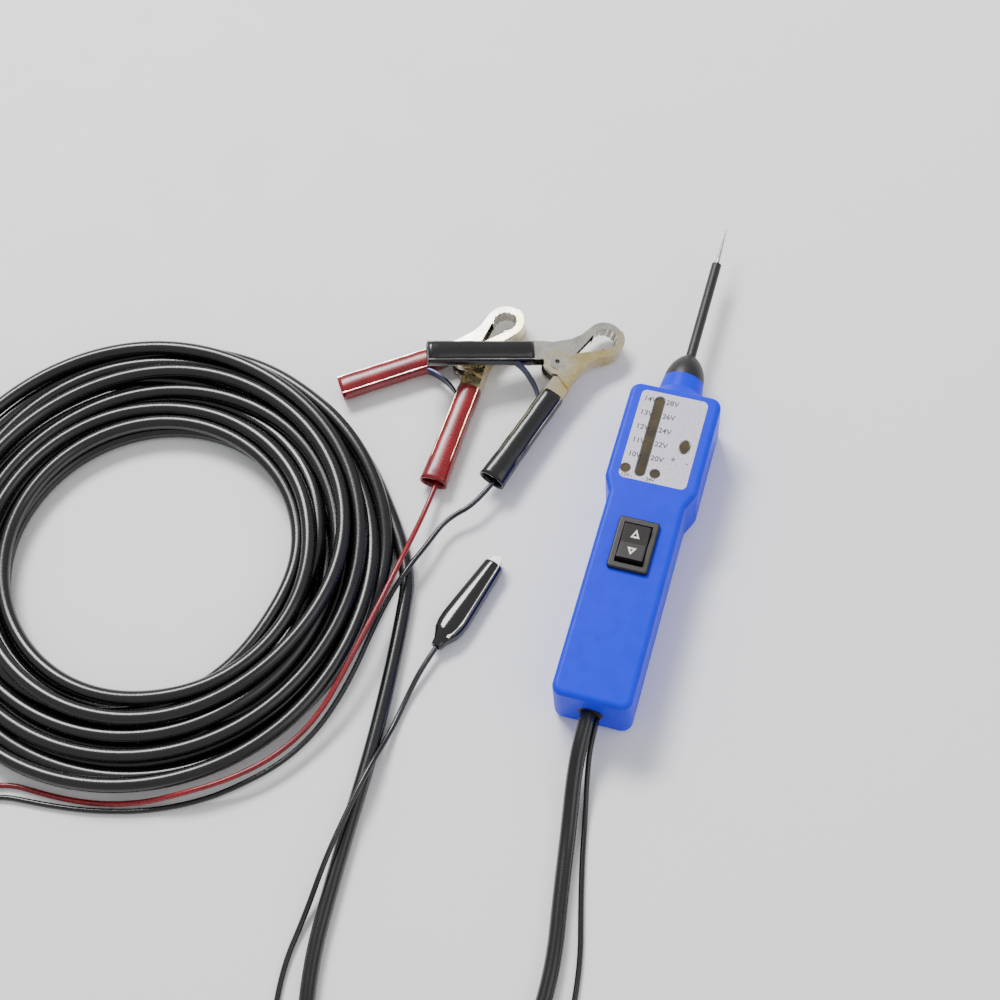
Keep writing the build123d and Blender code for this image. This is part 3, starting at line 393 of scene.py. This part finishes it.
def clipSleeve(name, clip, kind, look, body, node):
    shape = sleeveSet[kind]
    around = sleeveSet["around"]
    stations = sleeveSet["stations"]
    rows = []
    for wall in (0.0, sleeveSet["wall"]):
        for step in range(stations + 1):
            share = step / stations
            reach = shape["start"] + (shape["end"] - shape["start"]) * share
            wide = np.interp(share, (0, 0.35, 0.75, 1), shape["wide"])
            ripple = 0.06 * math.sin(share * 31 + 1.7) + 0.04 * math.sin(share * 13)
            end = min(share, 1 - share) * stations
            lip = -sleeveSet["lip"] if end < 1 else 0.0
            ring = []
            for turn in range(around):
                angle = 2 * math.pi * turn / around
                across, up = closedOval(
                    angle, wide - wall + ripple + lip, shape["tall"] - wall + lip, sleeveSet["power"]
                )
                x, y = handlePoint(reach, sleeveSet["offset"] + across)
                ring.append(clipPoint(clip, x, y * shape["side"], up))
            rows.append(ring)
    outer = rows[: stations + 1]
    inner = rows[stations + 1:]
    loop = outer + inner[::-1]
    vertices = [spot for ring in loop for spot in ring]
    faces = []
    for row in range(len(loop)):
        after = (row + 1) % len(loop)
        for turn in range(around):
            right = (turn + 1) % around
            quad = (row * around + turn, row * around + right, after * around + right, after * around + turn)
            faces.append(quad if shape["side"] > 0 else quad[::-1])
    piece = addObject(name, meshFrom(name, vertices, faces), look, body)
    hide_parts(node)
    return piece


def stripFaces(steps):
    # The faces of a closed bar of four-sided rings.
    faces = [(3, 2, 1, 0)]
    for row in range(steps):
        for turn in range(4):
            right = (turn + 1) % 4
            faces.append((row * 4 + turn, row * 4 + right, row * 4 + 4 + right, row * 4 + 4 + turn))
    last = steps * 4
    faces.append((last, last + 1, last + 2, last + 3))
    return faces


springSet = {"bend": -11.6, "reach": 19.0, "spread": 13.0, "wide": 2.1, "thick": 0.35}


def clipSpring(name, clip, node):
    rows = []
    steps = 40
    for step in range(steps + 1):
        share = 2 * step / steps - 1
        y = springSet["reach"] * share
        x = springSet["bend"] - springSet["spread"] * abs(share) ** 2.6
        slope = math.atan2(
            springSet["spread"] * 2.6 * abs(share) ** 1.6 * (1 if share > 0 else -1), springSet["reach"]
        )
        out = (math.cos(slope), math.sin(slope))
        ring = []
        for side, up in ((1, 1), (1, -1), (-1, -1), (-1, 1)):
            ring.append(clipPoint(
                clip, x + out[0] * side * springSet["thick"], y + out[1] * side * springSet["thick"],
                up * springSet["wide"],
            ))
        rows.append(ring)
    vertices = [spot for ring in rows for spot in ring]
    faces = stripFaces(steps)
    data = meshFrom(name, vertices, faces, smooth=False)
    piece = bpy.data.objects.new(name, data)
    bpy.context.scene.collection.objects.link(piece)
    data.materials.append(looks["blued_steel"])
    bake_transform(piece)
    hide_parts(node)
    return piece


fluteSet = {"x": 22.8, "radius": 4.62, "depth": 0.3, "count": 11, "thick": 0.35}


def clipFlutes(name, clip, side, half, body):
    # The grooved lining of half of a clip's round mouth.
    rows = []
    steps = 66
    for step in range(steps + 1):
        turn = math.radians(4 + 136 * step / steps)
        groove = abs(math.sin(fluteSet["count"] * turn * 0.66))
        radius = fluteSet["radius"] + fluteSet["depth"] * (1 - groove)
        ring = []
        for out, up in ((0, half), (0, -half), (fluteSet["thick"], -half), (fluteSet["thick"], half)):
            r = radius + out
            ring.append(clipPoint(clip, fluteSet["x"] + r * math.cos(turn), side * r * math.sin(turn), up))
        rows.append(ring)
    vertices = [spot for ring in rows for spot in ring]
    faces = stripFaces(steps)
    piece = addObject(name, meshFrom(name, vertices, faces, smooth=False), "nickel_steel", body)
    return piece


bootSet = {
    # along the clip, half width, half height
    "sizes": [
        (-15.8, 2.1, 2.1), (-15.2, 2.25, 2.25), (-13.4, 2.6, 2.6), (-11.6, 3.5, 3.1), (-9.4, 4.8, 3.6),
        (-6.5, 5.5, 3.68), (-3.0, 5.65, 3.68), (2.0, 5.35, 3.68), (8.0, 4.95, 3.66), (15.0, 4.45, 3.64),
        (20.0, 4.1, 3.62), (22.4, 3.95, 3.6), (22.8, 3.7, 3.4),
    ],
    "around": 32, "stations": 64, "wall": 0.6, "power": 2.6, "ridge": 0.28, "lowest": -3.68,
}


def crocBoot():
    around = bootSet["around"]
    sizes = np.array(bootSet["sizes"])
    reaches = np.linspace(sizes[0, 0], sizes[-1, 0], bootSet["stations"])
    rows = []
    for wall in (0.0, bootSet["wall"]):
        for reach in reaches:
            wide = np.interp(reach, sizes[:, 0], sizes[:, 1]) - wall
            tall = np.interp(reach, sizes[:, 0], sizes[:, 2]) - wall
            ring = []
            for turn in range(around):
                across, up = closedOval(2 * math.pi * turn / around, wide, tall, bootSet["power"])
                # A shallow ridge runs along each broad face.
                ridge = bootSet["ridge"] * max(0.0, 1 - abs(across) / (0.34 * wide)) * (1 if up > 0 else -1)
                ring.append(clipPoint(crocClip, reach, across, max(up * 0.94 + ridge, bootSet["lowest"])))
            rows.append(ring)
    outer = rows[: bootSet["stations"]]
    inner = rows[bootSet["stations"]:]
    loop = outer + inner[::-1]
    vertices = [spot for ring in loop for spot in ring]
    faces = []
    for row in range(len(loop)):
        after = (row + 1) % len(loop)
        for turn in range(around):
            right = (turn + 1) % around
            faces.append((row * around + turn, row * around + right, after * around + right, after * around + turn))
    data = meshFrom("croc_soft_boot", vertices, faces)
    piece = bpy.data.objects.new("croc_soft_boot", data)
    bpy.context.scene.collection.objects.link(piece)
    data.materials.append(looks["glossy_pvc"])
    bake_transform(piece)
    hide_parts("croc_boot")


for colour, clip, look in (("red", redClip, "red_pvc"), ("black", blackClip, "black_pvc")):
    free = f"{colour}_free_jaw"
    clipSleeve(f"{colour}_free_sleeve", clip, "free", look, free, f"{colour}_clip_free_sleeve")
    clipSleeve(f"{colour}_wired_sleeve", clip, "wired", look, "tester", f"{colour}_clip_wired_sleeve")
    clipSpring(f"{colour}_leaf_spring", clip, f"{colour}_clip_spring")
    clipFlutes(f"{colour}_free_lining", clip, 1, 2.9, free)
    clipFlutes(f"{colour}_wired_lining", clip, -1, 4.0, "tester")
crocBoot()
print("clips")

# Printing on the label and the switch.
labelSet = {"top": 24.0, "ink": 0.02, "text": 2.2, "small": 1.5, "left": -8.9, "right": -0.4}
labelRows = [
    (14.7, "14V", "28V"), (8.6, "13V", "26V"), (2.4, "12V", "24V"), (-3.6, "11V", "22V"), (-9.7, "10V", "20V"),
]


def lettering(name, entries, z):
    form = bmesh.new()
    for words, size, x, y in entries:
        text = bpy.data.curves.new("words", "FONT")
        text.body = words
        text.size = size * 1.38 * mm
        text.align_x = "CENTER"
        text.align_y = "CENTER"
        text.offset = 0.00005
        holder = bpy.data.objects.new("words", text)
        bpy.context.scene.collection.objects.link(holder)
        bpy.context.view_layer.update()
        mesh = bpy.data.meshes.new_from_object(holder)
        mesh.transform(Matrix.Translation(Vector((x, y, z)) * mm))
        form.from_mesh(mesh)
        bpy.data.objects.remove(holder)
    data = bpy.data.meshes.new(name)
    form.to_mesh(data)
    form.free()
    return addObject(name, data, "ink", "tester")


def outlineRing(points, width):
    # A flat band outside a closed row of points, given in order round it.
    vertices = []
    count = len(points)
    for index, (x, y) in enumerate(points):
        before = Vector(points[index - 1])
        after = Vector(points[(index + 1) % count])
        run = (after - before).normalized()
        vertices += [(x, y), (x + run.y * width, y - run.x * width)]
    faces = [(2 * i, 2 * i + 1, (2 * i + 3) % (2 * count), (2 * i + 2) % (2 * count)) for i in range(count)]
    return vertices, faces


def stadium(x, y, width, length, steps=14):
    radius = width / 2
    straight = length / 2 - radius
    points = []
    for side in (-1, 1):
        for step in range(steps + 1):
            turn = math.pi * step / steps + (math.pi if side < 0 else 0)
            points.append((x + radius * math.cos(turn), y + side * straight + radius * math.sin(turn)))
    return points


def printBands():
    bands = [
        (stadium(-5.2, -0.7, 3.4, 34.5), 0.4),
        (stadium(-10.8, -15.8, 3.5, 3.5), 0.3),
        (stadium(0.3, -15.8, 3.5, 3.5), 0.3),
        (stadium(8.3, -2.3, 3.8, 5.7), 0.25),
    ]
    vertices = []
    faces = []
    for points, width in bands:
        ring, quads = outlineRing(points, width)
        start = len(vertices)
        vertices += [(x * mm, y * mm, (labelSet["top"] + labelSet["ink"]) * mm) for x, y in ring]
        faces += [tuple(start + corner for corner in quad) for quad in quads]
    data = meshFrom("label_outlines", vertices, faces, smooth=False)
    return addObject("label_outlines", data, "ink", "tester")


entries = []
for y, low, high in labelRows:
    entries += [(low, labelSet["text"], labelSet["left"], y), (high, labelSet["text"], labelSet["right"], y)]
entries += [("+", 2.6, 5.4, -8.6), ("-", 2.6, 10.6, -8.8)]
entries += [("12V", labelSet["small"], -10.2, -18.7), ("24V", labelSet["small"], -0.8, -18.7)]
entries += [("-", labelSet["small"], -8.0, -18.7), ("-", labelSet["small"], -3.2, -18.7)]
lettering("label_numbers", entries, labelSet["top"] + labelSet["ink"])
printBands()

rockerSet = {"middle": -46.4, "end": 6.8, "high": 27.6, "low": 26.2, "size": 1.7}


def rockerMarks():
    vertices = []
    faces = []
    slope = (rockerSet["high"] - rockerSet["low"]) / rockerSet["end"]
    for side in (-1, 1):
        middle = 3.3
        size = rockerSet["size"]
        outer = [(-size, -size * 0.8), (size, -size * 0.8), (0, size * 1.1)]
        inner = [(x * 0.42, y * 0.42 - 0.12) for x, y in outer]
        start = len(vertices)
        for x, y in outer + inner:
            along_ = middle + y
            vertices.append((
                x * mm, (rockerSet["middle"] + side * along_) * mm, (rockerSet["low"] + slope * along_ + 0.03) * mm
            ))
        for corner in range(3):
            after = (corner + 1) % 3
            faces.append((start + corner, start + after, start + 3 + after, start + 3 + corner))
    data = meshFrom("rocker_marks", vertices, faces, smooth=False)
    return addObject("rocker_marks", data, "white_ink", "rocker")


rockerMarks()
print("printing")

# The stage.
stageSet = {"floor": (0.95, 0.95, 0.95), "key": 46.0, "fill": 6.0, "sky": 0.66}


def areaLight(name, place, size, power, target):
    data = bpy.data.lights.new(name, "AREA")
    data.shape = "RECTANGLE"
    data.size = size[0]
    data.size_y = size[1]
    data.energy = power
    light = bpy.data.objects.new(name, data)
    light.location = place
    light.rotation_euler = (Vector(target) - Vector(place)).to_track_quat("-Z", "Y").to_euler()
    bpy.context.scene.collection.objects.link(light)


def makeStage():
    floor = bpy.data.objects.new("floor", meshFrom(
        "floor", [(-6, -6, 0), (6, -6, 0), (6, 6, 0), (-6, 6, 0)], [(0, 1, 2, 3)], smooth=False
    ))
    floor.location.z = -0.0002
    paper = surface("paper", stageSet["floor"], tuple(c * 0.985 for c in stageSet["floor"]), 0.7, grain=40, bump=0.0)
    floor.data.materials.append(paper)
    bpy.context.scene.collection.objects.link(floor)
    world = bpy.data.worlds.new("world")
    world.use_nodes = True
    world.node_tree.nodes["Background"].inputs["Color"].default_value = (0.97, 0.98, 1.0, 1)
    world.node_tree.nodes["Background"].inputs["Strength"].default_value = stageSet["sky"]
    bpy.context.scene.world = world
    areaLight("key", (-0.9, 0.9, 1.5), (0.9, 0.5), stageSet["key"], (-0.08, -0.03, 0))
    areaLight("fill", (1.2, -0.2, 1.4), (1.2, 1.2), stageSet["fill"], (-0.05, -0.05, 0))


makeStage()
print("stage")
